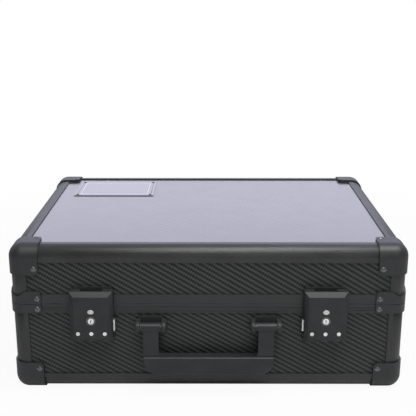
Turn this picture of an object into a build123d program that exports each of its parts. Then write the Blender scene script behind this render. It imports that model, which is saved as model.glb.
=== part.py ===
from build123d import *
from math import cos, sin, tan, radians, sqrt
import os

# A hard case for upright graded card slabs. Sizes are in millimetres.
# X runs along the case, Y from its front to its back and Z up from the floor it stands on.
# While it is built, Y is 0 on the front trims; the finished pieces are moved to the middle at the end.

# Case body, measured over the edge trims
body_width = 456.0
body_depth = 340.0
body_height = 177.0
parting_height = 110.0       # from the floor to the middle of the joint between lid and base
panel_thickness = 5.0
parting_gap = 0.4            # between the lid's rails and the base's rails

# Edge trims and corner posts, one quarter round extrusion
trim_radius = 14.0
trim_leg = 19.0
trim_skin = 1.5
trim_web = 1.3
end_trim_step = 0.3          # the end trims start this far past the long trims' legs

# Flat rails along the joint
lid_rail_height = 11.4
base_rail_height = 11.0
lid_web = 4.5
base_web = 3.0
tongue_width = 1.6
tongue_height = 3.0
groove_clearance = 1.0       # each side of the tongue, so that the back rail can swing off it
groove_headroom = 0.7

# Ball corners and rim corners
corner_proud = 2.0
ball_leaf = 33.5
ball_leaf_round = 6.0
rim_leaf = 35.0
rim_leaf_round = 4.0
rim_tab_height = 15.5
rim_dip_height = 9.5
rim_dip_end = 5.0
rim_tab_start = 21.0
rim_end_round = 2.5

# Pop rivets
rivet_head_radius = 3.25
rivet_head_height = 1.4
rivet_shank_radius = 1.6
ball_rivet_along = 28.5
ball_rivet_down = 26.0
rim_rivet_along = 30.4
rim_rivet_height = 6.2

# Badge plate on the lid, left bare
badge_width = 112.0
badge_depth = 79.0
badge_thickness = 1.0
badge_left = 38.0            # from the left trims to the plate
badge_back = 34.0            # from the back trims to the plate
badge_corner = 2.5
badge_rivet_inset = 5.0
badge_rivet_radius = 2.4
badge_rivet_height = 0.9

# Foam
floor_foam_thickness = 10.0
slot_foam_drop = 6.5         # from the joint down to the slotted block's top
lid_foam_thickness = 17.0
slab_width = 82.5
slab_side_clearance = 1.25
slot_rows = 4
slot_end_wall = 18.0

# Piano hinge at the back
hinge_end_gap = 8.0          # between the leaves and the rim corners
hinge_knuckles = 14
knuckle_gap = 0.4
knuckle_radius = 2.6
hinge_pin_radius = 1.2
running_clearance = 0.06
leaf_height = 9.5
leaf_thickness = 1.2
leaf_relief = 0.5

# Lid stays
stay_reach = 54.0            # from the hinge axis to the lid pivot, and to the stud on the base
stay_half_angle = 20.0       # each of them stands this far above or below the hinge axis when shut
lid_opening = 95.0
stay_width = 12.0
stay_thickness = 1.5
stay_wall_gap = 0.8
stay_stud_radius = 2.5
stay_head_radius = 4.5
stay_head_thickness = 1.2
stay_play = 0.3
stay_pocket_depth = 5.0
stay_pocket_margin = 3.0

# Handle and its brackets
handle_spacing = 133.0       # between the middles of the two arms
arm_width = 18.0
arm_thickness = 9.0
grip_thickness = 15.0
grip_height = 22.5
grip_drop = 57.8             # from the pivot to the bottom of the grip
handle_outer_round = 17.0
handle_inner_round = 6.0
handle_edge_round = 2.5
hub_radius = 5.5
pivot_drop = 24.7            # from the joint down to the pivot
pivot_front = 9.5            # from the front trims to the pivot
pivot_pin_radius = 2.0
ear_gap = 24.6
ear_thickness = 5.2
ear_radius = 6.6
hub_side_clearance = 0.4
bracket_plate_thickness = 2.5
bracket_plate_above = 10.1
bracket_plate_below = 9.0
bracket_plate_chamfer = 6.0

# Locks: housing
lock_from_side = 93.7        # from the case's side to the lock's middle
lock_width = 49.5
lock_drop = 42.5             # from the joint down to the housing's bottom
lock_rise = 19.0             # from the joint up to the housing's top
lock_depth = 15.0
lock_bevel = 5.0
lock_wall = 2.0
lid_clearance = 0.4          # between the housing and the lid's rail

# Locks: number dials
dial_pitch = 15.4
dial_radius = 6.5
dial_width = 6.0
dial_drop = 37.0             # from the joint down to the dials' axis
dial_front = 6.3             # from the front trims to the dials' axis
dial_slot_clearance = 0.4
dial_side_clearance = 0.3
dial_notch_radius = 0.55
dial_notches = 10
spindle_radius = 1.5

# Locks: key barrel, plug and bolt
key_drop = 15.2              # from the joint down to the key
barrel_radius = 5.5
plug_radius = 3.5
key_proud = 0.3
barrel_back = 7.0            # from the front trims to the barrel's back end
keyway_width = 1.2
keyway_length = 4.6
keyway_depth = 4.0
bolt_travel = 6.0
cam_radius = 6.0
cam_back = 4.8               # from the front trims to the cam disc's back face
cam_thickness = 1.8
cam_pin_radius = 1.2
cam_pin_length = 2.4
cam_play = 0.35
bolt_front = 4.4
bolt_thickness = 1.6
bolt_play = 0.3
bolt_bar_lift = 6.2          # from the key's middle up to the bolt's bar
bolt_bar_height = 6.0
bolt_bar_outer = 20.0
bolt_bar_inner = 9.0
bolt_arm_width = 6.0
bolt_fork_lift = 0.2
bolt_fork_width = 8.0
bolt_nose_height = 5.6
bolt_nose_gap = 1.0
guide_outer = 10.0
guide_inner = 5.0
guide_stud_radius = 1.3
guide_head_radius = 2.1
guide_head_thickness = 0.9
lock_plate_thickness = 1.5
lock_plate_drop = 29.0

# Locks: strike on the lid, with its heights above the joint
strike_width = 46.0
strike_rise = 21.0
strike_tab_width = 24.0
strike_tab_foot = 2.5
strike_tab_head = 15.0
strike_tab_thickness = 1.6
lug_width = 6.0
lug_depth = 5.2
lug_head = 11.2
strike_notch_clearance = 0.9

# Locks: release button
button_height = 13.8
button_thickness = 3.4
button_drop = 22.8           # from the joint down to the button's middle
button_front = 7.2           # from the front trims to the button's middle
button_proud = 2.0
button_play = 0.3
button_flange = 1.4
button_flange_thickness = 2.2

# Worked out from the sizes above
half_width = body_width / 2
bottom = corner_proud
top = bottom + body_height
middle_height = (bottom + top) / 2
shell = trim_skin + panel_thickness
lid_foot = parting_height + parting_gap / 2
base_head = parting_height - parting_gap / 2
hinge_y = body_depth + knuckle_radius
front_reach = pivot_front + grip_thickness / 2
back_reach = hinge_y + knuckle_radius
centre_shift = (front_reach - back_reach) / 2
floor_lift = rivet_head_height       # the case stands on the underside rivets' heads
pivot_height = parting_height - pivot_drop
lock_bottom = parting_height - lock_drop
lock_top = parting_height + lock_rise
lock_plate_bottom = parting_height - lock_plate_drop
dial_height = parting_height - dial_drop
key_height = parting_height - key_drop
bolt_bar_bottom = key_height + bolt_bar_lift
bolt_bar_top = bolt_bar_bottom + bolt_bar_height
bolt_fork_bottom = key_height + bolt_fork_lift
button_middle_height = parting_height - button_drop
strike_top = parting_height + strike_rise
strike_tab_bottom = parting_height + strike_tab_foot
strike_tab_top = parting_height + strike_tab_head
lug_top = parting_height + lug_head
hinge_length = body_width - 2 * (rim_leaf + hinge_end_gap)
far = 80.0

parts = {}


def block(x, y, z):
    """Box between pairs of coordinates."""
    size = [max(pair) - min(pair) for pair in (x, y, z)]
    return Pos(*[sum(pair) / 2 for pair in (x, y, z)]) * Box(*size)


def square(low, high):
    """Square from low to high on both sketch axes."""
    side = high - low
    return Pos((low + high) / 2, (low + high) / 2) * Rectangle(side, side)


def rectangle(x, y):
    return Pos(sum(x) / 2, sum(y) / 2) * Rectangle(abs(x[1] - x[0]), abs(y[1] - y[0]))


def rod(start, axis, radius, length):
    """Round bar from a point along an axis."""
    return extrude(Plane(origin=start, z_dir=axis) * Circle(radius), amount=length)


def rounded_square(edge, reach):
    """Square from edge to reach whose outer corner keeps the trim's centre of curvature."""
    radius = trim_radius - edge
    near = trim_radius - radius / sqrt(2)
    return make_face([
        Line((trim_radius, edge), (reach, edge)),
        Line((reach, edge), (reach, reach)),
        Line((reach, reach), (edge, reach)),
        Line((edge, reach), (edge, trim_radius)),
        ThreePointArc((edge, trim_radius), (near, near), (trim_radius, edge)),
    ])


def four_ways(piece):
    """The piece and its mirror images about the case's two upright middle planes."""
    side = piece + mirror(piece, about=Plane.YZ)
    across = Plane(origin=(0, body_depth / 2, 0), z_dir=(0, 1, 0))
    return side + mirror(side, about=across)


def both_sides(piece):
    return piece + mirror(piece, about=Plane.YZ)


def upside_down(piece):
    return mirror(piece, about=Plane(origin=(0, 0, middle_height), z_dir=(0, 0, 1)))


# Trim extrusion. The filled outline is also what the corner castings leave room for.
inner_corner = square(shell, far)
trim_filled = (rounded_square(0, trim_leg) - rectangle((trim_radius, far), (trim_skin, far))
               - rectangle((trim_skin, far), (trim_radius, far)) - inner_corner)
trim_chamber = (rounded_square(trim_skin, trim_radius + 1) & square(trim_skin, trim_radius - trim_web)
                ) - square(shell - trim_web, far)
trim_outline = trim_filled - trim_chamber


def trim(outline, corner, u, v, length):
    """Extrusion centred on corner, whose legs run along u and v."""
    plane = Plane(origin=corner, x_dir=u, z_dir=Vector(*u).cross(Vector(*v)))
    return extrude(plane * outline, amount=length / 2, both=True)


long_trim_length = body_width - 2 * trim_radius
end_trim_start = trim_leg + end_trim_step
end_trim_length = body_depth - 2 * end_trim_start
end_rail_length = body_depth - 2 * trim_radius
front_trim = trim(trim_outline, (0, 0, top), (0, 1, 0), (0, 0, -1), long_trim_length)
back_trim = trim(trim_outline, (0, body_depth, top), (0, -1, 0), (0, 0, -1), long_trim_length)
right_trim = trim(trim_outline, (half_width, body_depth / 2, top), (-1, 0, 0), (0, 0, -1), end_trim_length)
parts["lid_long_trims"] = front_trim + back_trim
parts["lid_end_trims"] = both_sides(right_trim)
parts["base_long_trims"] = upside_down(parts["lid_long_trims"])
parts["base_end_trims"] = upside_down(parts["lid_end_trims"])


def posts(low, high):
    corner = (half_width, 0, (low + high) / 2)
    return four_ways(trim(trim_outline, corner, (-1, 0, 0), (0, 1, 0), high - low))


lid_post_foot = lid_foot + lid_rail_height
base_post_head = base_head - base_rail_height
parts["lid_posts"] = posts(lid_post_foot, top - trim_leg)
parts["base_posts"] = posts(bottom + trim_leg, base_post_head)

# Panels
panel_x = (-half_width + trim_radius, half_width - trim_radius)
panel_y = (trim_radius, body_depth - trim_radius)
lid_wall_z = (lid_foot + lid_web, top - trim_radius)
base_wall_z = (bottom + trim_radius, base_head - base_web)
front_wall = (trim_skin, shell)
back_wall = (body_depth - shell, body_depth - trim_skin)
side_wall = (half_width - shell, half_width - trim_skin)
left_wall = (-side_wall[1], -side_wall[0])
parts["lid_top_panel"] = block(panel_x, panel_y, (top - shell, top - trim_skin))
parts["base_bottom_panel"] = block(panel_x, panel_y, (bottom + trim_skin, bottom + shell))
for half, wall_z in (("lid", lid_wall_z), ("base", base_wall_z)):
    parts[half + "_front_panel"] = block(panel_x, front_wall, wall_z)
    parts[half + "_back_panel"] = block(panel_x, back_wall, wall_z)
    parts[half + "_left_panel"] = block(left_wall, panel_y, wall_z)
    parts[half + "_right_panel"] = block(side_wall, panel_y, wall_z)

# Rails: u goes in from the outer face of the wall, v goes up
tongue_middle = shell / 2
tongue_side = tongue_width / 2
groove_side = tongue_side + groove_clearance
groove_top = base_head + tongue_height + groove_headroom
lid_rail_outline = (rectangle((0, trim_skin), (lid_foot, lid_post_foot))
                    + rectangle((0, shell), (lid_foot, lid_foot + lid_web))
                    - rectangle((tongue_middle - groove_side, tongue_middle + groove_side),
                                (lid_foot, groove_top)))
base_rail_outline = (rectangle((0, trim_skin), (base_post_head, base_head))
                     + rectangle((0, shell), (base_head - base_web, base_head))
                     + rectangle((tongue_middle - tongue_side, tongue_middle + tongue_side),
                                 (base_head, base_head + tongue_height)))


def rail(outline, middle, inward, length):
    up = Vector(0, 0, 1)
    plane = Plane(origin=middle, x_dir=inward, z_dir=Vector(*inward).cross(up))
    return extrude(plane * outline, amount=length / 2, both=True)


for half, outline in (("lid", lid_rail_outline), ("base", base_rail_outline)):
    parts[half + "_long_rails"] = (rail(outline, (0, 0, 0), (0, 1, 0), long_trim_length)
                                   + rail(outline, (0, body_depth, 0), (0, -1, 0), long_trim_length))
    parts[half + "_end_rails"] = both_sides(
        rail(outline, (half_width, body_depth / 2, 0), (-1, 0, 0), end_rail_length))

# Corners are shaped with x and y going in from the corner's two upright faces.
# A ball corner has z going down from the top face, a rim corner has z going up from the joint.


def cube(low, high):
    return block((low, high), (low, high), (low, high))


def ball_corner():
    """Cast corner: a rounded cap with three leaves, and a core that the trims butt on."""
    leaf_zone = fillet(cube(-corner_proud, ball_leaf).edges().filter_by(
        lambda edge: sum(abs(value - ball_leaf) < 0.01 for value in edge.center()) == 2), ball_leaf_round)
    cap = fillet(cube(-corner_proud, far).edges().filter_by(
        lambda edge: sum(abs(value + corner_proud) < 0.01 for value in edge.center()) == 2),
        trim_radius + corner_proud)
    core = (block((0, trim_radius), (0, trim_radius), (0, trim_leg))
            + block((0, trim_radius), (0, end_trim_start), (0, trim_radius)) - cube(shell, far))
    round_frame = fillet(cube(0, far).edges().filter_by(
        lambda edge: sum(abs(value) < 0.01 for value in edge.center()) == 2), trim_radius)
    room = (cube(trim_skin, far) & round_frame) - core
    run = far - trim_radius
    rest = far - end_trim_start
    drop = far - trim_leg
    along_x = trim(trim_filled, (trim_radius + run / 2, 0, 0), (0, 1, 0), (0, 0, 1), run)
    along_y = trim(trim_filled, (0, end_trim_start + rest / 2, 0), (1, 0, 0), (0, 0, 1), rest)
    post = trim(trim_filled, (0, 0, trim_leg + drop / 2), (1, 0, 0), (0, 1, 0), drop)
    return (cap & leaf_zone) - room - along_x - along_y - post


def rim_wave():
    """Outline above the wavy top edge of a rim corner, along one face."""
    low, high = rim_dip_height, rim_tab_height + 0.1
    bend = (rim_dip_end + rim_tab_start) / 2
    return make_face([
        Line((-far, low), (rim_dip_end, low)),
        Bezier((rim_dip_end, low), (bend, low), (bend, high), (rim_tab_start, high)),
        Line((rim_tab_start, high), (rim_tab_start, far)),
        Line((rim_tab_start, far), (-far, far)),
        Line((-far, far), (-far, low)),
    ])


def rim_corner(height, rail_height, end_round, wavy):
    """Cast corner over the ends of two rails, with a core between them."""
    foot = parting_gap / 2
    zone = block((-corner_proud, rim_leaf), (-corner_proud, rim_leaf), (foot, height))
    zone = fillet(zone.edges().filter_by(
        lambda edge: abs(edge.center().Z - height) < 0.01
        and max(edge.center().X, edge.center().Y) > rim_leaf - 0.01), end_round)
    sheath = block((-corner_proud, far), (-corner_proud, far), (foot, height))
    sheath = fillet(sheath.edges().filter_by(
        lambda edge: abs(edge.center().X + corner_proud) < 0.01
        and abs(edge.center().Y + corner_proud) < 0.01), trim_radius + corner_proud)
    level = foot + rail_height
    core = block((0, trim_radius), (0, trim_radius), (foot, level)) - cube(shell, far)
    room = block((trim_skin, far), (trim_skin, far), (0, far)) - core
    rails = (block((trim_radius, far), (0, trim_skin), (0, level))
             + block((0, trim_skin), (trim_radius, far), (0, level)))
    rise = far - level
    post = trim(trim_filled, (0, 0, level + rise / 2), (1, 0, 0), (0, 1, 0), rise)
    corner = (zone & sheath) - room - rails - post
    if wavy:
        front = extrude(Plane(origin=(0, 0, 0), x_dir=(1, 0, 0), z_dir=(0, -1, 0)) * rim_wave(),
                        amount=far, both=True)
        side = extrude(Plane(origin=(0, 0, 0), x_dir=(0, 1, 0), z_dir=(1, 0, 0)) * rim_wave(),
                       amount=far, both=True)
        inside = extrude(rounded_square(0, far), amount=far)
        corner -= (front & side) - inside
    return corner


def at_top(corner):
    """Turn a corner shaped from its own faces into the right front corner of the lid."""
    return Pos(half_width, 0, top) * mirror(mirror(corner, about=Plane.XY), about=Plane.YZ)


def at_joint(corner):
    return Pos(half_width, 0, parting_height) * mirror(corner, about=Plane.YZ)


def flip_at_joint(corner):
    return Pos(half_width, 0, parting_height) * mirror(mirror(corner, about=Plane.XY), about=Plane.YZ)


parts["lid_ball_corners"] = four_ways(at_top(ball_corner()))
parts["base_ball_corners"] = upside_down(parts["lid_ball_corners"])
parts["lid_rim_corners"] = four_ways(at_joint(
    rim_corner(rim_tab_height, lid_rail_height, rim_leaf_round, True)))
parts["base_rim_corners"] = four_ways(flip_at_joint(
    rim_corner(parting_gap / 2 + base_rail_height, base_rail_height, rim_end_round, False)))


def rivet(face_point, outward, radius, height, depth):
    """Domed rivet standing on a face, with a shank that goes depth into it."""
    ball = (radius ** 2 + height ** 2) / (2 * height)
    dome = Pos(0, 0, height - ball) * Sphere(ball) & Pos(0, 0, height) * Box(far, far, 2 * height)
    shank = Pos(0, 0, -depth / 2) * Cylinder(rivet_shank_radius, depth)
    return Plane(origin=face_point, z_dir=outward) * (dome + shank)


def case_rivets():
    """Rivets of one lid corner: three on the ball corner and two on the rim corner."""
    along, down = ball_rivet_along, ball_rivet_down
    depth = corner_proud + shell
    front, side = -corner_proud, half_width + corner_proud
    size = (rivet_head_radius, rivet_head_height, depth)
    level = rivet((half_width - along, along, top + corner_proud), (0, 0, 1), *size)
    ball = (rivet((half_width - along, front, top - down), (0, -1, 0), *size)
            + rivet((side, along, top - down), (1, 0, 0), *size))
    rim_height = parting_height + rim_rivet_height
    rim = (rivet((half_width - rim_rivet_along, front, rim_height), (0, -1, 0), *size)
           + rivet((side, rim_rivet_along, rim_height), (1, 0, 0), *size))
    return level, ball, rim


level_rivet, ball_rivets, rim_rivets = case_rivets()
about_joint = Plane(origin=(0, 0, parting_height), z_dir=(0, 0, 1))
parts["lid_rivets"] = four_ways(level_rivet + ball_rivets + rim_rivets)
parts["base_rivets"] = four_ways(upside_down(ball_rivets) + mirror(rim_rivets, about=about_joint))
parts["underside_rivets"] = four_ways(upside_down(level_rivet))

# Badge plate with four small rivets
badge_x = (-half_width + badge_left, -half_width + badge_left + badge_width)
badge_y = (body_depth - badge_back - badge_depth, body_depth - badge_back)
panel_top = top - trim_skin
badge = block(badge_x, badge_y, (panel_top, panel_top + badge_thickness))
parts["badge_plate"] = fillet(badge.edges().filter_by(Axis.Z), badge_corner)
badge_rivets = [
    rivet((x, y, panel_top + badge_thickness), (0, 0, 1), badge_rivet_radius, badge_rivet_height,
          badge_thickness + panel_thickness / 2)
    for x in (badge_x[0] + badge_rivet_inset, badge_x[1] - badge_rivet_inset)
    for y in (badge_y[0] + badge_rivet_inset, badge_y[1] - badge_rivet_inset)]
parts["badge_rivets"] = Compound(badge_rivets)

# Foam. The slabs stand in rows that run from front to back.
inside_x = (-half_width + shell, half_width - shell)
inside_y = (shell, body_depth - shell)
floor = bottom + shell
foam_floor = floor + floor_foam_thickness
foam_top = parting_height - slot_foam_drop
parts["floor_foam"] = block(inside_x, inside_y, (floor, foam_floor))
row_width = slab_width + 2 * slab_side_clearance
row_wall = (inside_x[1] - inside_x[0] - slot_rows * row_width) / (slot_rows + 1)
slot_foam = block(inside_x, inside_y, (foam_floor, foam_top))
for row in range(slot_rows):
    left = inside_x[0] + row_wall + row * (row_width + row_wall)
    slot_foam -= block((left, left + row_width), (inside_y[0] + slot_end_wall, inside_y[1] - slot_end_wall),
                       (foam_floor, foam_top))
parts["lid_foam"] = block(inside_x, inside_y, (top - shell - lid_foam_thickness, top - shell))

# Lid stays: a slotted link from a pivot on the lid to a stud on the base.
# Pivot and stud are equally far from the hinge axis, so the link turns half as far as the lid.
stay_y = hinge_y - stay_reach * cos(radians(stay_half_angle))
stay_rise = stay_reach * sin(radians(stay_half_angle))
stay_pivot_z = parting_height + stay_rise
stay_stud_z = parting_height - stay_rise
longest = 2 * stay_reach * sin(radians(stay_half_angle + lid_opening / 2))
stay_face = half_width - shell - stay_wall_gap
stay_x = (stay_face - stay_thickness, stay_face)
slot_radius = stay_stud_radius + running_clearance
link_end = stay_pivot_z - longest
link = Plane(origin=(stay_x[0], stay_y, 0), x_dir=(0, 1, 0), z_dir=(1, 0, 0))


def stadium(low, high, radius):
    return (rectangle((-radius, radius), (low, high)) + Pos(0, low) * Circle(radius)
            + Pos(0, high) * Circle(radius))


link_outline = (stadium(link_end, stay_pivot_z, stay_width / 2) - stadium(link_end, stay_stud_z, slot_radius)
                - Pos(0, stay_pivot_z) * Circle(slot_radius))
right_stay = extrude(link * link_outline, amount=stay_thickness)
parts["stay_right"] = right_stay
parts["stay_left"] = mirror(right_stay, about=Plane.YZ)


def stay_stud(height):
    """Shouldered stud that stands in from the side wall: collar, shank and head."""
    wall = half_width - shell
    inward = (-1, 0, 0)
    collar = rod((wall, stay_y, height), inward, stay_head_radius, stay_wall_gap - stay_play)
    shank_length = stay_wall_gap + stay_thickness + stay_play
    shank = rod((wall, stay_y, height), inward, stay_stud_radius, shank_length)
    head = rod((wall - shank_length, stay_y, height), inward, stay_head_radius, stay_head_thickness)
    return collar + shank + head


parts["stay_pivots"] = both_sides(stay_stud(stay_pivot_z))
parts["stay_studs"] = both_sides(stay_stud(stay_stud_z))
half_open = lid_opening / 2
foot_swing = max(2 * stay_reach * (sin(radians(stay_half_angle + half_open))
                                   - sin(radians(stay_half_angle + turn))) * sin(radians(turn))
                 for turn in range(int(half_open)))
head_swing = ((foam_top - stay_stud_z) * tan(radians(half_open))
              + stay_width / 2 / cos(radians(half_open)))
pocket_y = (stay_y - stay_width / 2 - foot_swing - stay_pocket_margin,
            stay_y + head_swing + stay_pocket_margin)
pocket_bottom = link_end - stay_width / 2 - stay_pocket_margin
slot_foam -= both_sides(block((inside_x[1] - stay_pocket_depth, inside_x[1]), pocket_y,
                              (pocket_bottom, foam_top)))
parts["slot_foam"] = slot_foam

# Piano hinge. The knuckles stand against the rails' outer faces and take turns along the pin.
pitch = hinge_length / hinge_knuckles
half_hinge = hinge_length / 2
leaf_y = (body_depth, body_depth + leaf_thickness)


def hinge_leaf(first, leaf_z, bore):
    leaf = block((-half_hinge, half_hinge), leaf_y, leaf_z)
    own, other = [], []
    for index in range(hinge_knuckles):
        start = -half_hinge + index * pitch
        if index % 2 == first:
            own.append(rod((start + knuckle_gap / 2, hinge_y, parting_height), (1, 0, 0),
                           knuckle_radius, pitch - knuckle_gap))
        else:
            other.append(rod((start - knuckle_gap / 2, hinge_y, parting_height), (1, 0, 0),
                             knuckle_radius + leaf_relief, pitch + knuckle_gap))
    hole = rod((-half_hinge - 1, hinge_y, parting_height), (1, 0, 0), bore, hinge_length + 2)
    return (leaf - other) + own - hole


parts["hinge_lid_leaf"] = hinge_leaf(0, (lid_foot, lid_foot + leaf_height),
                                     hinge_pin_radius + running_clearance)
parts["hinge_base_leaf"] = hinge_leaf(1, (base_head - leaf_height, base_head), hinge_pin_radius)
parts["hinge_pin"] = rod((-half_hinge, hinge_y, parting_height), (1, 0, 0), hinge_pin_radius, hinge_length)

# Handle: two arms hang from hubs between the brackets' ears and meet in a thick grip
arm_x = handle_spacing / 2
handle_half = arm_x + arm_width / 2
grip_bottom = pivot_height - grip_drop
grip_top = grip_bottom + grip_height
hub_half = ear_gap / 2 - hub_side_clearance
pivot_y = -pivot_front


def handle():
    outline = rectangle((-handle_half, handle_half), (grip_bottom, pivot_height))
    hollow = rectangle((-handle_half + arm_width, handle_half - arm_width), (grip_top, pivot_height + 1))
    hollow = fillet(hollow.vertices().group_by(Axis.Y)[0], handle_inner_round)
    outline = fillet(outline.vertices().group_by(Axis.Y)[0], handle_outer_round) - hollow
    face = Plane(origin=(0, pivot_y, 0), x_dir=(1, 0, 0), z_dir=(0, -1, 0))
    frame = extrude(face * outline, amount=arm_thickness / 2, both=True)
    swell = rectangle((-handle_half, handle_half), (grip_bottom, grip_top))
    swell = fillet(swell.vertices().group_by(Axis.Y)[0], handle_outer_round)
    grip = extrude(face * swell, amount=grip_thickness / 2, both=True)
    ends = [edge for edge in grip.edges() if abs(abs(edge.center().Y - pivot_y) - grip_thickness / 2) < 0.01]
    grip = fillet(ends, handle_edge_round)
    hubs = [rod((side * arm_x - hub_half, pivot_y, pivot_height), (1, 0, 0), hub_radius, 2 * hub_half)
            for side in (-1, 1)]
    bores = [rod((side * arm_x - hub_half - 1, pivot_y, pivot_height), (1, 0, 0),
                 pivot_pin_radius + running_clearance, 2 * hub_half + 2) for side in (-1, 1)]
    return frame + grip + hubs - bores


parts["handle"] = handle()


def bracket(side):
    """Plate on the front panel with two ears round the handle's hub."""
    middle = side * arm_x
    half = ear_gap / 2 + ear_thickness
    low, high = pivot_height - bracket_plate_below, pivot_height + bracket_plate_above
    plate_y = trim_skin - bracket_plate_thickness
    plate = block((middle - half, middle + half), (plate_y, trim_skin), (low, high))
    plate = chamfer(plate.edges().filter_by(Axis.Y).group_by(Axis.Z)[-1], bracket_plate_chamfer)
    ears = []
    for inner in (-1, 1):
        start = middle + inner * (ear_gap + ear_thickness) / 2 - ear_thickness / 2
        ear = block((start, start + ear_thickness), (pivot_y, trim_skin - 1),
                    (pivot_height - ear_radius, pivot_height + ear_radius))
        ears.append(ear + rod((start, pivot_y, pivot_height), (1, 0, 0), ear_radius, ear_thickness))
    bore = rod((middle - half - 1, pivot_y, pivot_height), (1, 0, 0), pivot_pin_radius, 2 * half + 2)
    return plate + ears - bore


parts["handle_brackets"] = Compound([bracket(-1), bracket(1)])
pin_half = ear_gap / 2 + ear_thickness
parts["handle_pins"] = Compound([
    rod((side * arm_x - pin_half, pivot_y, pivot_height), (1, 0, 0), pivot_pin_radius, 2 * pin_half)
    for side in (-1, 1)])

# Locks. The left one is shaped, with x measured from its middle towards the case's middle,
# and the right one is its mirror image.
lock_x = lock_from_side - half_width
lock_half = lock_width / 2


def lock_block(x, y, z):
    return block([lock_x + value for value in x], y, z)


def lock_rod(x, y, z, axis, radius, length):
    return rod((lock_x + x, y, z), axis, radius, length)


def cover(inset, back):
    """Bevelled lock cover, or the hollow inside it."""
    half = lock_half - inset
    bevel = lock_bevel - inset * (2 - sqrt(2))
    front = -lock_depth + inset
    solid = lock_block((-half, half), (front, back), (lock_bottom + inset, lock_top - inset))
    return chamfer(solid.faces().sort_by(Axis.Y)[0].edges(), bevel)


dial_places = [-dial_pitch, 0, dial_pitch]
inner_half = lock_half - lock_wall
inner_bottom, inner_top = lock_bottom + lock_wall, lock_top - lock_wall
inner_front = -lock_depth + lock_wall
tab_half = strike_tab_width / 2
lug_front = -strike_tab_thickness - lug_depth

housing = cover(0, trim_skin) - cover(lock_wall, trim_skin + 1)
housing -= lock_block((-far, far), (0, far), (base_post_head, top))
housing -= lock_block((-far, far), (-lid_clearance, far), (base_head, top))
notch_half = tab_half + strike_notch_clearance
housing -= lock_block((-notch_half, notch_half), (lug_front - strike_notch_clearance, far),
                      (inner_top - 1, lock_top + 1))
for x in dial_places:
    slot_half = dial_width / 2 + dial_side_clearance
    housing -= lock_rod(x - slot_half, -dial_front, dial_height, (1, 0, 0),
                        dial_radius + dial_slot_clearance, 2 * slot_half)
housing -= lock_rod(-lock_half, -dial_front, dial_height, (1, 0, 0), spindle_radius, lock_width)
housing -= lock_rod(0, -lock_depth - 1, key_height, (0, 1, 0), barrel_radius, lock_wall + 2)
button_z = (button_middle_height - button_height / 2, button_middle_height + button_height / 2)
button_y = (-button_front - button_thickness / 2, -button_front + button_thickness / 2)
housing -= lock_block((inner_half - 1, lock_half + 1),
                      (button_y[0] - button_play, button_y[1] + button_play),
                      (button_z[0] - button_play, button_z[1] + button_play))

spindle = lock_rod(-lock_half, -dial_front, dial_height, (1, 0, 0), spindle_radius, lock_width)


def dial(x):
    """Number wheel with a row of finger notches round its rim."""
    wheel = lock_rod(x - dial_width / 2, -dial_front, dial_height, (1, 0, 0), dial_radius, dial_width)
    wheel -= lock_rod(x - dial_width / 2, -dial_front, dial_height, (1, 0, 0),
                      spindle_radius + running_clearance, dial_width)
    for index in range(dial_notches):
        angle = radians(360 / dial_notches * (index + 0.5))
        wheel -= lock_rod(x - dial_width / 2, -dial_front + dial_radius * cos(angle),
                          dial_height + dial_radius * sin(angle), (1, 0, 0), dial_notch_radius, dial_width)
    return wheel


# The plug turns a quarter; its cam pin starts up and outwards and carries the bolt inwards
key_face = -lock_depth - key_proud
plug_bore = plug_radius + running_clearance
barrel = lock_rod(0, key_face, key_height, (0, 1, 0), barrel_radius, -barrel_back - key_face)
barrel -= lock_rod(0, key_face, key_height, (0, 1, 0), plug_bore, -barrel_back - key_face)
cam_front = -cam_back - cam_thickness
pin_offset = bolt_travel / 2
plug = lock_rod(0, key_face, key_height, (0, 1, 0), plug_radius, cam_front - key_face)
plug += lock_rod(0, cam_front, key_height, (0, 1, 0), cam_radius, cam_thickness)
plug += lock_rod(-pin_offset, -cam_back, key_height + pin_offset, (0, 1, 0), cam_pin_radius, cam_pin_length)
plug -= lock_block((-keyway_width / 2, keyway_width / 2), (key_face, key_face + keyway_depth),
                   (key_height - keyway_length / 2, key_height + keyway_length / 2))

bolt_y = (-bolt_front, -bolt_front + bolt_thickness)
nose_middle = (strike_tab_bottom + lug_top) / 2
nose_z = (nose_middle - bolt_nose_height / 2, nose_middle + bolt_nose_height / 2)
nose_tip = -lug_width / 2 - bolt_nose_gap
bolt = lock_block((-bolt_bar_outer, bolt_bar_inner), bolt_y, (bolt_bar_bottom, bolt_bar_top))
fork_x = (-pin_offset - bolt_fork_width / 2, -pin_offset + bolt_fork_width / 2)
bolt += lock_block(fork_x, bolt_y, (bolt_fork_bottom, bolt_bar_bottom))
bolt += lock_block((-bolt_bar_outer, -bolt_bar_outer + bolt_arm_width), bolt_y, (bolt_bar_top, nose_z[1]))
bolt += lock_block((-bolt_bar_outer, nose_tip), bolt_y, nose_z)
fork_half = cam_pin_radius + cam_play
fork_top = key_height + pin_offset * sqrt(2) + fork_half
bolt -= lock_block((-pin_offset - fork_half, -pin_offset + fork_half), bolt_y, (bolt_fork_bottom, fork_top))
guide_height = (bolt_bar_bottom + bolt_bar_top) / 2
guide_half = guide_stud_radius + bolt_play
for x in (-guide_outer, guide_inner):
    bolt -= lock_block((x - bolt_travel - guide_half, x + guide_half), bolt_y,
                       (guide_height - guide_half, guide_height + guide_half))

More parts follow.
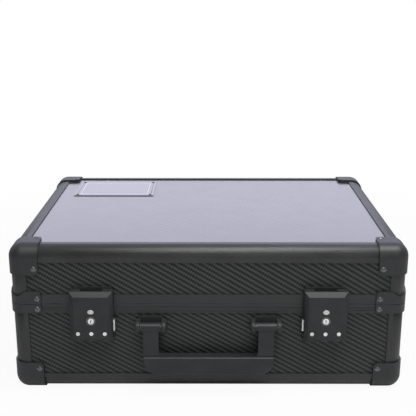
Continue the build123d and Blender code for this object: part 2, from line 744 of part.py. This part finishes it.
# Back plate inside the housing, with the studs that the bolt slides on
lock_plate = lock_block((-inner_half, inner_half), (-lock_plate_thickness, 0), (lock_plate_bottom, base_head))
lock_plate += lock_block((-inner_half, inner_half), (0, trim_skin), (lock_plate_bottom, base_post_head))
stud_length = bolt_front + bolt_play - lock_plate_thickness
for x in (-guide_outer, guide_inner):
    lock_plate += lock_rod(x, -lock_plate_thickness, guide_height, (0, -1, 0), guide_stud_radius, stud_length)
    lock_plate += lock_rod(x, -lock_plate_thickness - stud_length, guide_height, (0, -1, 0),
                           guide_head_radius, guide_head_thickness)

button = lock_block((lock_half - lock_wall - button_play - button_flange_thickness, lock_half + button_proud),
                    button_y, button_z)
button = fillet(button.edges().filter_by(Axis.Z).group_by(Axis.X)[-1], 1.0)
flange_x = (inner_half - button_play - button_flange_thickness, inner_half - button_play)
button += lock_block(flange_x, (button_y[0], button_y[1] + button_flange),
                     (button_z[0] - button_flange / 2, button_z[1] + button_flange))

# Strike on the lid: a plate above the rail, a tab down over the rail and a holed lug for the bolt
strike_half = strike_width / 2
strike = lock_block((-strike_half, strike_half), (0, trim_skin), (lid_post_foot, strike_top))
strike += lock_block((-tab_half, tab_half), (-strike_tab_thickness, 0), (strike_tab_bottom, strike_tab_top))
strike += lock_block((-lug_width / 2, lug_width / 2), (lug_front, -strike_tab_thickness),
                     (strike_tab_bottom, lug_top))
strike -= lock_block((-lug_width / 2, lug_width / 2), (bolt_y[0] - bolt_play, bolt_y[1] + bolt_play),
                     (nose_z[0] - bolt_play, nose_z[1] + bolt_play))


def pair(name, piece):
    parts[name + "_left"] = piece
    parts[name + "_right"] = mirror(piece, about=Plane.YZ)


pair("lock_housing", housing)
pair("key_plug", plug)
pair("bolt", bolt)
pair("release_button", button)
for number, x in enumerate(dial_places, 1):
    parts[f"dial_left_{number}"] = dial(x)
    parts[f"dial_right_{number}"] = mirror(dial(x), about=Plane.YZ)
parts["key_barrels"] = both_sides(barrel)
parts["dial_spindles"] = both_sides(spindle)
parts["lock_plates"] = both_sides(lock_plate)
parts["strikes"] = both_sides(strike)

# Rivet holes through everything that the shanks pass
pierced = {
    "lid": ("ball_corners", "rim_corners", "long_rails", "end_rails", "front_panel", "back_panel",
            "left_panel", "right_panel", "top_panel"),
    "base": ("ball_corners", "rim_corners", "long_rails", "end_rails", "front_panel", "back_panel",
             "left_panel", "right_panel", "bottom_panel"),
}
for half, names in pierced.items():
    for name in names:
        parts[f"{half}_{name}"] = parts[f"{half}_{name}"] - parts[half + "_rivets"]
for name in ("base_ball_corners", "base_bottom_panel"):
    parts[name] = parts[name] - parts["underside_rivets"]
parts["badge_plate"] = parts["badge_plate"] - parts["badge_rivets"]
parts["lid_top_panel"] = parts["lid_top_panel"] - parts["badge_rivets"]

os.makedirs("parts", exist_ok=True)
for name, piece in parts.items():
    solids = (Pos(0, centre_shift, floor_lift) * piece).solids()
    export_step(Compound(solids) if len(solids) > 1 else solids[0], f"parts/{name}.step")
print(len(parts), "nodes, middle moved by", round(centre_shift, 3))
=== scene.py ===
import math

import bmesh
import bpy
from mathutils import Matrix, Vector


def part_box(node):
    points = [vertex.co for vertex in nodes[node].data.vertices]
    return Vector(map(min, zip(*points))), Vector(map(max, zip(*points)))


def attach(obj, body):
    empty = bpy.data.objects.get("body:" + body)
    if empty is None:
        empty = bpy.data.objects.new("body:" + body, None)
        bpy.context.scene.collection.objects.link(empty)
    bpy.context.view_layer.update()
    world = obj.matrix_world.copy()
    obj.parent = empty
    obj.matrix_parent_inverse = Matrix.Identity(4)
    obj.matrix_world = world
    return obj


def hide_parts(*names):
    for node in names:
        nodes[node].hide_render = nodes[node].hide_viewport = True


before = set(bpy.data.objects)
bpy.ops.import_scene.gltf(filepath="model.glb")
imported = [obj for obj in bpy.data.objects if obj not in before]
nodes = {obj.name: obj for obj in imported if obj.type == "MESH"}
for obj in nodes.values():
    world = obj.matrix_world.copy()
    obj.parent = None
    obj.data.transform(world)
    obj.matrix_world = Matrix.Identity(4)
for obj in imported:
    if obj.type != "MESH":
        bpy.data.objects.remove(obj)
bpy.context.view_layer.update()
print("frame loaded:", len(nodes), "nodes")


# a wire is one socket, and maths on wires adds Math nodes
class Wire:
    def __init__(self, shader, socket):
        self.shader = shader
        self.socket = socket

    def maths(self, operation, *values):
        return self.shader.node("ShaderNodeMath", dict(enumerate(values)), operation=operation)

    def __add__(self, other): return self.maths("ADD", self, other)
    def __radd__(self, other): return self.maths("ADD", other, self)
    def __sub__(self, other): return self.maths("SUBTRACT", self, other)
    def __rsub__(self, other): return self.maths("SUBTRACT", other, self)
    def __mul__(self, other): return self.maths("MULTIPLY", self, other)
    def __rmul__(self, other): return self.maths("MULTIPLY", other, self)
    def __mod__(self, other): return self.maths("FLOORED_MODULO", self, other)
    def __lt__(self, other): return self.maths("LESS_THAN", self, other)
    def __gt__(self, other): return self.maths("GREATER_THAN", self, other)
    def __abs__(self): return self.maths("ABSOLUTE", self)
    def floor(self): return self.maths("FLOOR", self)
    def atLeast(self, other): return self.maths("MAXIMUM", self, other)
    def atMost(self, other): return self.maths("MINIMUM", self, other)


# the node tree of a material or of the world
class Shader:
    def __init__(self, owner):
        owner.use_nodes = True
        self.tree = owner.node_tree
        self.tree.nodes.clear()

    def feed(self, node, sockets):
        for key, value in sockets.items():
            socket = node.inputs[key]
            if isinstance(value, Wire):
                self.tree.links.new(value.socket, socket)
            elif socket.type == "RGBA":
                socket.default_value = (*value, 1.0)
            else:
                socket.default_value = value

    # one node: its type, its sockets' values or wires, and its settings, which are set first
    def node(self, kind, sockets=None, out=0, **settings):
        made = self.tree.nodes.new(kind)
        for key, value in settings.items():
            setattr(made, key, value)
        self.feed(made, sockets or {})
        return Wire(self, made.outputs[out]) if len(made.outputs) else made

    def place(self):                              # the point on the object, in metres
        return self.node("ShaderNodeTexCoord", out="Object")

    def axis(self, vector, number):
        return self.node("ShaderNodeSeparateXYZ", {0: vector}, out=number)

    def ray(self, kind):
        return self.node("ShaderNodeLightPath", out=kind)

    def noise(self, point, size, detail, roughness=0.5):
        return self.node("ShaderNodeTexNoise", {"Vector": point, "Scale": 1 / size,
                                                "Detail": detail, "Roughness": roughness})

    def mixColour(self, amount, first, second):
        return self.node("ShaderNodeMix", {0: amount, 6: first, 7: second}, out=2, data_type="RGBA")

    def bump(self, height, depth, strength):
        return self.node("ShaderNodeBump", {"Height": height, "Distance": depth,
                                            "Strength": strength})


class Finish(Shader):
    def __init__(self, name, steady):
        self.material = bpy.data.materials.new(name)
        super().__init__(self.material)
        self.surface = self.node("ShaderNodeBsdfPrincipled", steady)
        self.output = self.node("ShaderNodeOutputMaterial", {"Surface": self.surface})

    def wear(self, tone, rough, normal):
        channels = {"Base Color": tone, "Roughness": rough, "Normal": normal}
        self.feed(self.surface.socket.node, channels)
        return self.material


def shaded(colour, amount):
    return tuple(value * amount for value in colour)


carbon = {
    "towWide": 0.00266, "towTall": 0.00155,       # one float of the 2/2 twill, along and up
    "light": (0.055, 0.062, 0.059), "dark": (0.0040, 0.0058, 0.0055),
    "uprightShade": 0.86, "lowestShade": 0.06,    # upright tows catch the light, level ones don't
    "edgePaintedShade": 0.72,                            # painted shade: a tow's colour at its edge, beside 1 on its crown, as a rounded tow is shaded
    "strandSize": 0.00035, "strandDetail": 1.0, "strandShade": 0.14, "strandRelief": 0.25,
    "cloudSize": 0.03, "cloudDetail": 3.0, "cloudShade": 0.16, "cloudRough": 0.10,
    "ticks": 5.0, "tickShade": 0.22,              # fine strands across each upright float
    "roughness": 0.42, "edgeRough": 0.06, "relief": 0.00006, "reliefStrength": 0.5,
    "coatRough": 0.2,
}


def carbonFinish(name, along, up, stretch=1.0, level=0.3, coat=0.0):
    finish = Finish(name, {"IOR": 1.5, "Specular IOR Level": level, "Coat Weight": coat,
                           "Coat Roughness": carbon["coatRough"]})
    point = finish.place()
    u = finish.axis(point, along) * (1 / carbon["towWide"])
    v = finish.axis(point, up) * (1 / (carbon["towTall"] * stretch))
    over = ((u.floor() + v.floor()) % 4.0) < 2.0  # 1 where an upright tow lies on top
    across = abs((u % 1.0) - 0.5) * 2.0           # 0 in the middle of an upright tow
    rise = abs((v % 1.0) - 0.5) * 2.0
    crown = 1.0 - (over * across * across + (1.0 - over) * rise * rise)
    strands = finish.noise(point, carbon["strandSize"], carbon["strandDetail"])
    cloud = finish.noise(point, carbon["cloudSize"], carbon["cloudDetail"])
    ticks = abs(((u * carbon["ticks"]) % 1.0) - 0.5)
    shade = over * carbon["uprightShade"] + carbon["lowestShade"]
    # painted shade: each tow is darker towards its edges, as light falls on its rounded top
    shade = shade * (carbon["edgePaintedShade"] + (1 - carbon["edgePaintedShade"]) * crown)
    shade = shade + (strands - 0.5) * carbon["strandShade"] + (cloud - 0.5) * carbon["cloudShade"]
    shade = shade - ticks * over * carbon["tickShade"]
    tone = finish.mixColour(shade.atLeast(0.0).atMost(1.0), carbon["dark"], carbon["light"])
    rough = carbon["roughness"] + (cloud - 0.5) * carbon["cloudRough"]
    rough = rough + (1.0 - crown) * carbon["edgeRough"]
    height = crown + strands * carbon["strandRelief"]
    return finish.wear(tone, rough, finish.bump(height, carbon["relief"], carbon["reliefStrength"]))


powder = {
    "pebbleSoft": 0.6, "pebbleRelief": 0.7, "pebbleTone": 0.35,
    "fineSize": 0.6, "fineDetail": 2.0, "fineRelief": 0.5,  # the size is beside the grain's
    "cloudSize": 0.025, "cloudDetail": 3.0, "cloudTone": 0.7, "cloudRough": 0.10,
    # glints: painted highlights on the fine grain's peaks, with lower roughness there
    "glintAbove": 0.66, "paintedGlintTone": 0.3, "glintRough": 0.18,
    "low": 0.55, "high": 1.65, "middle": 0.35,    # the darkest and palest tone, and how far up
    "reliefStrength": 0.6,
}


def powderFinish(name, colour, grain, roughness, relief, speck=0.5, level=0.5):
    finish = Finish(name, {"IOR": 1.5, "Specular IOR Level": level})
    point = finish.place()
    pebbles = finish.node("ShaderNodeTexVoronoi", {"Vector": point, "Scale": 1 / grain,
                                                   "Smoothness": powder["pebbleSoft"]},
                          feature="SMOOTH_F1")
    fine = finish.noise(point, grain * powder["fineSize"], powder["fineDetail"])
    cloud = finish.noise(point, powder["cloudSize"], powder["cloudDetail"])
    height = (1.0 - pebbles) * powder["pebbleRelief"] + fine * powder["fineRelief"]
    glint = (fine > powder["glintAbove"]) * speck
    shade = powder["middle"] + (cloud - 0.5) * powder["cloudTone"]
    # painted highlight: the glints are painted paler into the colour, as sparkles of light
    shade = shade + (0.5 - pebbles) * powder["pebbleTone"] + glint * powder["paintedGlintTone"]
    tone = finish.mixColour(shade.atLeast(0.0).atMost(1.0), shaded(colour, powder["low"]),
                            shaded(colour, powder["high"]))
    rough = roughness + (cloud - 0.5) * powder["cloudRough"] - glint * powder["glintRough"]
    return finish.wear(tone, rough, finish.bump(height, relief, powder["reliefStrength"]))


satin = {
    "drawn": 0.04, "lineDetail": 3.0, "lineJag": 0.6, "lineTone": 0.6, "lineRough": 0.14,
    "cloudSize": 0.02, "cloudDetail": 3.0, "cloudTone": 0.4, "cloudRough": 0.08,
    "low": 0.8, "high": 1.2, "relief": 0.00002, "reliefStrength": 0.35,
}


def satinFinish(name, colour, roughness, metallic=0.0, along=0, brushed=0.00025):
    finish = Finish(name, {"IOR": 1.5, "Metallic": metallic})
    point = finish.place()
    stretch = [satin["drawn"] if axis == along else 1.0 for axis in range(3)]
    drawn = finish.node("ShaderNodeVectorMath", {0: point, 1: stretch}, operation="MULTIPLY")
    lines = finish.noise(drawn, brushed, satin["lineDetail"], satin["lineJag"])
    cloud = finish.noise(point, satin["cloudSize"], satin["cloudDetail"])
    shade = (lines * satin["lineTone"] + cloud * satin["cloudTone"]).atMost(1.0)
    high = [min(1.0, value) for value in shaded(colour, satin["high"])]
    tone = finish.mixColour(shade, shaded(colour, satin["low"]), high)
    rough = roughness + (lines - 0.5) * satin["lineRough"] + (cloud - 0.5) * satin["cloudRough"]
    return finish.wear(tone, rough, finish.bump(lines, satin["relief"], satin["reliefStrength"]))


badge = {
    "inset": 0.0085, "width": 0.0008,             # the border line
    "line": (0.40, 0.40, 0.43), "outside": (0.020, 0.020, 0.024), "inside": (0.050, 0.050, 0.062),
    "insideShade": 0.8,
    "grainSize": 0.0006, "grainDetail": 2.0, "grainShade": 0.3, "grainRough": 0.12,
    "roughness": 0.34, "coatRough": 0.12, "relief": 0.00002, "reliefStrength": 0.4,
}


def badgeFinish(name):
    low, high = [Vector(corner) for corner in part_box("badge_plate")]
    finish = Finish(name, {"IOR": 1.5, "Coat Weight": 1.0, "Coat Roughness": badge["coatRough"]})
    point = finish.place()
    x, y = finish.axis(point, 0), finish.axis(point, 1)
    inset = (x - low.x).atMost(high.x - x).atMost((y - low.y).atMost(high.y - y))
    inner = badge["inset"] + badge["width"]
    border = (inset > badge["inset"]) * (inset < inner)
    grain = finish.noise(point, badge["grainSize"], badge["grainDetail"])
    shade = (inset > inner) * badge["insideShade"] + (grain - 0.5) * badge["grainShade"]
    plain = finish.mixColour(shade, badge["outside"], badge["inside"])
    tone = finish.mixColour(border, plain, badge["line"])
    rough = badge["roughness"] + grain * badge["grainRough"]
    return finish.wear(tone, rough, finish.bump(grain, badge["relief"], badge["reliefStrength"]))


twills = {
    "carbon twill front": {"along": 0, "up": 2, "stretch": 0.965},
    "carbon twill lid front": {"along": 0, "up": 2, "stretch": 1.04},
    "carbon twill side": {"along": 1, "up": 2},
    "carbon twill level": {"along": 0, "up": 1, "level": 0.5, "coat": 1.0},
}
powderCoats = {
    "textured powder coat": {"colour": (0.024, 0.0245, 0.025), "grain": 0.0011, "roughness": 0.41,
                             "relief": 0.00030},
    "textured corner coat": {"colour": (0.020, 0.021, 0.022), "grain": 0.0011, "roughness": 0.46,
                             "relief": 0.00012},
    "lock enamel": {"colour": (0.026, 0.027, 0.028), "grain": 0.0005, "roughness": 0.46,
                    "relief": 0.00006, "level": 0.3},
    "handle plastic": {"colour": (0.024, 0.025, 0.026), "grain": 0.0006, "roughness": 0.38,
                       "relief": 0.00006, "speck": 0.4, "level": 0.3},
    "dial plastic": {"colour": (0.05, 0.05, 0.052), "grain": 0.0004, "roughness": 0.42,
                     "relief": 0.00002, "speck": 0.1},
    "white index paint": {"colour": (0.78, 0.78, 0.78), "grain": 0.0003, "roughness": 0.4,
                          "relief": 0.00001, "speck": 0.0},
}
satinCoats = {
    "black rail": {"colour": (0.020, 0.021, 0.022), "roughness": 0.40},
    "black rivet": {"colour": (0.15, 0.15, 0.16), "roughness": 0.26, "metallic": 0.7},
    "badge rivet": {"colour": (0.10, 0.10, 0.11), "roughness": 0.30, "metallic": 0.8},
    "black hinge": {"colour": (0.032, 0.033, 0.035), "roughness": 0.36, "metallic": 0.3},
    "zinc plate": {"colour": (0.56, 0.57, 0.60), "roughness": 0.30, "metallic": 1.0, "along": 2},
    "bright key face": {"colour": (0.82, 0.83, 0.85), "roughness": 0.22, "metallic": 0.7,
                        "brushed": 0.0004},
    "grey key ring": {"colour": (0.11, 0.11, 0.115), "roughness": 0.35, "metallic": 0.6},
    "bright button": {"colour": (0.62, 0.62, 0.64), "roughness": 0.26, "metallic": 0.8, "along": 2},
    "pale inlay": {"colour": (0.62, 0.60, 0.58), "roughness": 0.3, "metallic": 0.5},
}
finishes = {"badge plate": badgeFinish("badge plate")}
makers = ((carbonFinish, twills), (powderFinish, powderCoats), (satinFinish, satinCoats))
for maker, coats in makers:
    for name, values in coats.items():
        finishes[name] = maker(name, **values)

# a node wears the first finish with one of these words in the node's name
wornBy = {
    "carbon twill lid front": ("lid_front_panel", "lid_back_panel"),
    "carbon twill front": ("front_panel", "back_panel"),
    "carbon twill side": ("left_panel", "right_panel"),
    "carbon twill level": ("top_panel", "bottom_panel"),
    "textured powder coat": ("trims", "posts"),
    "textured corner coat": ("corners",),
    "black rail": ("rails",),
    "badge plate": ("badge_plate",),
    "badge rivet": ("badge_rivets",),
    "black rivet": ("rivets",),
    "black hinge": ("hinge",),
    "zinc plate": ("stay", "lock_plates", "dial_spindles", "bolt", "handle_pins"),
    "lock enamel": ("lock_housing", "strikes", "handle_brackets"),
    "bright key face": ("key_plug",),
    "grey key ring": ("key_barrels",),
    "bright button": ("release_button",),
    "dial plastic": ("dial",),
    "handle plastic": ("handle",),
}
finished = 0
for name, piece in nodes.items():
    for finishName, words in wornBy.items():
        if any(word in name for word in words):
            piece.data.materials.clear()
            piece.data.materials.append(finishes[finishName])
            finished += 1
            break
print("finishes on", finished, "nodes")


# soft edges on the hard pieces, so that each edge catches a line of light
edges = {
    "width": {
        "lock_housing": 0.0005, "handle_brackets": 0.0005, "badge_plate": 0.0002,
        "release_button": 0.0003, "strikes": 0.0003, "trims": 0.0002, "posts": 0.0002,
        "rails": 0.0003,
    },
    "join": 0.00001, "steps": 2, "sharpest": 38,
}


def addWeld(piece, distance):
    weld = piece.modifiers.new("join", "WELD")
    weld.merge_threshold = distance


def addBevel(piece, width):
    bevel = piece.modifiers.new("edge", "BEVEL")
    bevel.width = width
    bevel.segments = edges["steps"]
    bevel.limit_method = "ANGLE"
    bevel.angle_limit = math.radians(edges["sharpest"])
    bevel.use_clamp_overlap = True
    bevel.harden_normals = True


for name, piece in nodes.items():
    for part, width in edges["width"].items():
        if part in name:
            addWeld(piece, edges["join"])
            addBevel(piece, width)
            break
print("edges rounded")


def addPiece(name, mesh, finish, body, replaced=None):
    piece = bpy.data.objects.new(name, mesh)
    bpy.context.scene.collection.objects.link(piece)
    mesh.materials.append(finish)
    if replaced:
        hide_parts(replaced)
    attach(piece, body)
    return piece


# foam: outlines with rounded corners, given depth and a soft rounded edge
foam = {
    "edge": 0.0022, "edgeSteps": 3, "corner": 0.003, "cornerSteps": 6, "cornerShare": 0.45,
    "play": 0.0006, "join": 0.00002, "fill": 1.0,
    "rows": 4, "rowWide": 0.085, "endWall": 0.018,
    "pocketDeep": 0.005, "pocketFront": 0.0194, "pocketBack": 0.0249,  # room for the stays to swing
    "cellSize": 0.0011, "cellTone": 0.7,
    "cloudSize": 0.035, "cloudDetail": 4.0, "cloudTone": 0.6,
    "light": (0.030, 0.030, 0.032), "dark": (0.014, 0.014, 0.015),
    "roughness": 0.86, "cloudRough": 0.12, "relief": 0.00035, "reliefStrength": 0.7,
    "sheen": 0.25, "sheenRough": 0.6,
}


def foamFinish(name):
    finish = Finish(name, {"IOR": 1.45, "Sheen Weight": foam["sheen"],
                           "Sheen Roughness": foam["sheenRough"]})
    point = finish.place()
    cells = finish.node("ShaderNodeTexVoronoi", {"Vector": point, "Scale": 1 / foam["cellSize"]},
                        feature="F1")
    cloud = finish.noise(point, foam["cloudSize"], foam["cloudDetail"])
    shade = cells * foam["cellTone"] + (cloud - 0.5) * foam["cloudTone"]
    tone = finish.mixColour(shade.atLeast(0.0).atMost(1.0), foam["light"], foam["dark"])
    rough = foam["roughness"] + (cloud - 0.5) * foam["cloudRough"]
    return finish.wear(tone, rough, finish.bump(cells, foam["relief"], foam["reliefStrength"]))


def addOutline(curve, corners):
    corners = [Vector(corner) for corner in corners]
    rounded = []
    for number, here in enumerate(corners):
        last = corners[number - 1] - here
        following = corners[(number + 1) % len(corners)] - here
        reach = min(foam["corner"], foam["cornerShare"] * last.length,
                    foam["cornerShare"] * following.length)
        start, end = here + last.normalized() * reach, here + following.normalized() * reach
        for step in range(foam["cornerSteps"] + 1):
            t = step / foam["cornerSteps"]
            rounded.append(start * (1 - t) ** 2 + here * 2 * t * (1 - t) + end * t ** 2)
    spline = curve.splines.new("POLY")
    spline.points.add(len(rounded) - 1)
    for point, place in zip(spline.points, rounded):
        point.co = (place.x, place.y, 0, 1)
    spline.use_cyclic_u = True


def rectangle(xLow, xHigh, yLow, yHigh):
    return [(xLow, yLow), (xHigh, yLow), (xHigh, yHigh), (xLow, yHigh)]


def insideOf(node):                               # the node's sides, drawn in by the play
    low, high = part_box(node)
    play = foam["play"]
    return low[0] + play, high[0] - play, low[1] + play, high[1] - play


def addFoam(name, node, body, outlines):
    low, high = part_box(node)
    curve = bpy.data.curves.new(name, "CURVE")
    curve.dimensions = "2D"
    curve.fill_mode = "BOTH"
    for corners in outlines:
        addOutline(curve, corners)
    curve.extrude = (high[2] - low[2]) / 2 - foam["edge"]
    curve.bevel_depth = foam["edge"]
    curve.bevel_resolution = foam["edgeSteps"]
    curve.offset = -foam["edge"]
    holder = bpy.data.objects.new(name + " outline", curve)
    bpy.context.scene.collection.objects.link(holder)
    bpy.context.view_layer.update()
    filled = holder.evaluated_get(bpy.context.evaluated_depsgraph_get())
    mesh = bpy.data.meshes.new_from_object(filled)
    bpy.data.objects.remove(holder)
    mesh.transform(Matrix.Translation((0, 0, (low[2] + high[2]) / 2)))
    for face in mesh.polygons:
        face.use_smooth = True
    piece = addPiece(name, mesh, softFoam, body, replaced=node)
    addWeld(piece, foam["join"])


def slotOutlines():
    low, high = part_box("slot_foam")
    stayLow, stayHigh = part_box("stay_right")
    stayMiddle = (stayLow[1] + stayHigh[1]) / 2
    front, back = stayMiddle - foam["pocketFront"], stayMiddle + foam["pocketBack"]
    deep = foam["pocketDeep"]
    xLow, xHigh, yLow, yHigh = insideOf("slot_foam")
    outlines = [[
        (xLow, yLow), (xHigh, yLow),
        (xHigh, front), (xHigh - deep, front), (xHigh - deep, back), (xHigh, back),
        (xHigh, yHigh), (xLow, yHigh),
        (xLow, back), (xLow + deep, back), (xLow + deep, front), (xLow, front),
    ]]
    wall = ((high[0] - low[0]) - foam["rows"] * foam["rowWide"]) / (foam["rows"] + 1)
    for row in range(foam["rows"]):
        left = low[0] + wall + row * (foam["rowWide"] + wall)
        outlines.append(rectangle(left, left + foam["rowWide"],
                                  low[1] + foam["endWall"], high[1] - foam["endWall"]))
    return outlines


softFoam = foamFinish("closed cell foam")
addFoam("slotFoam", "slot_foam", "base", slotOutlines())
addFoam("floorFoam", "floor_foam", "base", [rectangle(*insideOf("floor_foam"))])
addFoam("lidFoam", "lid_foam", "lid", [rectangle(*insideOf("lid_foam"))])
print("foam made")


# lock faces: three white index dots and a plain oval inlay on each
lockFace = {
    "thick": 0.00022, "straight": 0.6, "slope": 0.8, "sides": 40,
    "dotRadius": 0.00118, "dotRim": 0.0011, "dotUp": 0.0115, "dotPitch": 0.0154, "dotThick": 0.5,
    "inlayRadius": 0.0036, "inlayRim": 0.0006, "inlayUp": 0.0385, "inlayFlat": 0.76,
    "inlayThick": 0.4,
}


def addDisc(shape, centre, radius, thick, flat=1.0):
    sides = lockFace["sides"]
    angles = [2 * math.pi * number / sides for number in range(sides)]
    profile = ((0, radius), (thick * lockFace["straight"], radius),
               (thick, radius - thick * lockFace["slope"]))
    rings = [[shape.verts.new((centre[0] + size * math.cos(angle), centre[1] - depth,
                               centre[2] + flat * size * math.sin(angle))) for angle in angles]
             for depth, size in profile]
    for low, high in zip(rings, rings[1:]):
        for number in range(sides):
            following = (number + 1) % sides
            face = shape.faces.new((low[number], low[following], high[following], high[number]))
            face.smooth = True
    shape.faces.new(rings[-1])
    shape.faces.new(list(reversed(rings[0])))


def addLockPiece(name, side, shape, finish):
    bmesh.ops.recalc_face_normals(shape, faces=shape.faces)
    mesh = bpy.data.meshes.new(name)
    shape.to_mesh(mesh)
    shape.free()
    addPiece(name + "_" + side, mesh, finish, "base")


for side in ("left", "right"):
    low, high = [Vector(corner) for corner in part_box("lock_housing_" + side)]
    middle = (low.x + high.x) / 2
    thick = lockFace["thick"]
    shape = bmesh.new()
    for step in (-1, 0, 1):
        across, up = middle + step * lockFace["dotPitch"], low.z + lockFace["dotUp"]
        addDisc(shape, (across, low.y, up), lockFace["dotRadius"] + lockFace["dotRim"], thick)
        addDisc(shape, (across, low.y - thick, up), lockFace["dotRadius"],
                thick * lockFace["dotThick"])
    addLockPiece("indexDots", side, shape, finishes["white index paint"])
    shape = bmesh.new()
    up = low.z + lockFace["inlayUp"]
    addDisc(shape, (middle, low.y, up), lockFace["inlayRadius"], thick, flat=lockFace["inlayFlat"])
    addDisc(shape, (middle, low.y - thick, up), lockFace["inlayRadius"] - lockFace["inlayRim"],
            thick * lockFace["inlayThick"], flat=lockFace["inlayFlat"])
    addLockPiece("inlay", side, shape, finishes["pale inlay"])
print("lock faces made")


# floor: pale, with the object's shadow, and glowing white to the camera
ground = {
    "reach": 4.0, "colour": (0.62, 0.62, 0.63), "roughness": 0.9,
    "glowFrom": 0.3, "glowTo": 1.1, "glowNear": 0.94, "glowFar": 1.0,
}
reach = ground["reach"]
floorMesh = bpy.data.meshes.new("floor")
floorMesh.from_pydata([(x, y, 0) for x, y in rectangle(-reach, reach, -reach, reach)], [],
                      [(0, 1, 2, 3)])
floor = bpy.data.objects.new("floor", floorMesh)
bpy.context.scene.collection.objects.link(floor)
floorFinish = Finish("white floor", {"Base Color": ground["colour"],
                                     "Roughness": ground["roughness"]})
away = floorFinish.node("ShaderNodeVectorMath", {0: floorFinish.place()}, out=1, operation="LENGTH")
faded = floorFinish.node("ShaderNodeMapRange",
                         {0: away, 1: ground["glowFrom"], 2: ground["glowTo"],
                          3: ground["glowNear"], 4: ground["glowFar"]},
                         interpolation_type="SMOOTHSTEP")
glow = floorFinish.node("ShaderNodeEmission", {"Color": (1, 1, 1), "Strength": 1.0})
blended = floorFinish.node("ShaderNodeMixShader", {0: floorFinish.ray("Is Camera Ray") * faded,
                                                   1: floorFinish.surface, 2: glow})
floorFinish.feed(floorFinish.output, {"Surface": blended})
floorMesh.materials.append(floorFinish.material)

# surroundings: white to the camera, even fill, and reflections that brighten behind and upwards
studio = {
    "seen": 1.0, "fill": 0.33,
    "mirrorFront": 0.06, "mirrorBack": 0.97, "backFrom": -0.30, "backTo": 0.60,
    "liftFrom": 0.18, "liftTo": 0.42, "liftLow": 0.62, "liftHigh": 1.0,
    "plain": (1, 1, 1), "backTint": (0.80, 0.80, 1.0),
}
world = bpy.data.worlds.new("studio")
bpy.context.scene.world = world
around = Shader(world)
mirrored = around.ray("Is Glossy Ray")
seen = around.ray("Is Camera Ray").atLeast(around.ray("Is Transmission Ray"))
towards = around.node("ShaderNodeTexCoord", out="Generated")
behind = around.node("ShaderNodeMapRange",
                     {0: around.axis(towards, 1), 1: studio["backFrom"], 2: studio["backTo"]},
                     interpolation_type="SMOOTHSTEP")
lifted = around.node("ShaderNodeMapRange",
                     {0: around.axis(towards, 2), 1: studio["liftFrom"], 2: studio["liftTo"],
                      3: studio["liftLow"], 4: studio["liftHigh"]})
mirror = studio["mirrorFront"] + behind * lifted * (studio["mirrorBack"] - studio["mirrorFront"])
unseen = mirrored * mirror + (1 - mirrored) * studio["fill"]
strength = seen * studio["seen"] + (1 - seen) * unseen
tint = around.mixColour(mirrored * behind, studio["plain"], studio["backTint"])
background = around.node("ShaderNodeBackground", {"Color": tint, "Strength": strength})
around.node("ShaderNodeOutputWorld", {"Surface": background})

lamps = {
    "overhead": {"place": (0.26, -0.50, 1.30), "aim": (0.05, -0.15, 0.1), "wide": 1.4, "tall": 0.5,
                 "power": 20, "colour": (1, 1, 1)},
    "front": {"place": (0.5, -1.9, 0.9), "aim": (0, -0.1, 0.1), "wide": 0.9, "tall": 0.9,
              "power": 3.0, "colour": (1, 1, 1)},
    "behind": {"place": (0, 2.6, 1.15), "aim": (0, 0, 0.18), "wide": 3.4, "tall": 1.0,
               "power": 12.5, "colour": (0.84, 0.84, 1.0)},
}
for name, lamp in lamps.items():
    light = bpy.data.lights.new(name, "AREA")
    light.energy = lamp["power"]
    light.color = lamp["colour"]
    light.shape = "RECTANGLE"
    light.size, light.size_y = lamp["wide"], lamp["tall"]
    holder = bpy.data.objects.new(name, light)
    bpy.context.scene.collection.objects.link(holder)
    holder.location = lamp["place"]
    holder.visible_camera = False
    toward = Vector(lamp["aim"]) - Vector(lamp["place"])
    holder.rotation_euler = toward.to_track_quat("-Z", "Y").to_euler()

# camera at the photograph's place, from a least squares fit of the case's edges
view = {
    "place": (0.0019, -1.0131, 0.4707), "down": 16.03, "turn": 0.16,
    "focal": 792.5, "width": 416,                 # both in pixels
    "sensor": 36.0, "nearest": 0.05,
}
camera = bpy.data.cameras.new("camera")
camera.sensor_width = view["sensor"]
camera.lens = view["focal"] / view["width"] * view["sensor"]
camera.clip_start = view["nearest"]
cameraHolder = bpy.data.objects.new("camera", camera)
bpy.context.scene.collection.objects.link(cameraHolder)
cameraHolder.location = view["place"]
cameraHolder.rotation_euler = (math.radians(90 - view["down"]), 0, math.radians(view["turn"]))
bpy.context.scene.camera = cameraHolder
bpy.context.scene.view_settings.view_transform = "Standard"
print("stage and camera set")
